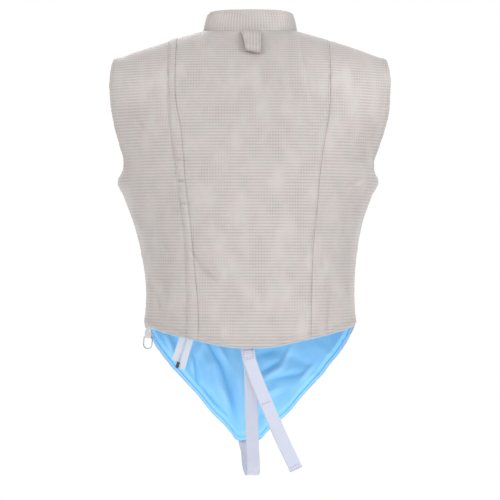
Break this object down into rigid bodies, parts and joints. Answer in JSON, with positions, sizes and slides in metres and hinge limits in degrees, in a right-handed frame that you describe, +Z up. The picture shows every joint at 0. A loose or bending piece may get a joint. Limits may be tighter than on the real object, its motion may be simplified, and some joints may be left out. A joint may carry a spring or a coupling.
{
  "type": "fencing lame vest",
  "caption": "Sleeveless fencing lame vest, hollow as worn, with a standing collar, zip fly, ring, blue-lined front point and crotch strap.",
  "frame": {"origin": "midway between the two neck points, where the shoulder seams meet the collar and the wearer's shoulders carry the vest", "axes": "+Z up along the body, +X to the wearer's left, +Y out of the wearer's back"},
  "size_m": [0.4372, 0.2486, 0.7361],
  "materials": {
    "lame": "metallic woven cloth",
    "lining": "satin",
    "webbing": "woven",
    "tape": "woven",
    "ring_metal": "satin",
    "dark_plastic": "matte"
  },
  "bodies": {
    "root": {"back_centre": "lame", "back_side_left": "lame", "back_side_right": "lame", "front": "lame", "front_lining": "lining", "collar": "lame", "zip_fly": "lame", "neck_loop": "lame", "back_hem_tape": "tape", "zip_tape_outer": "tape", "zip_tape_inner": "tape", "zip_stop": "dark_plastic", "ring_tab": "tape", "ring": "ring_metal", "crotch_strap": "webbing", "strap_tail": "webbing"}
  },
  "joints": []
}
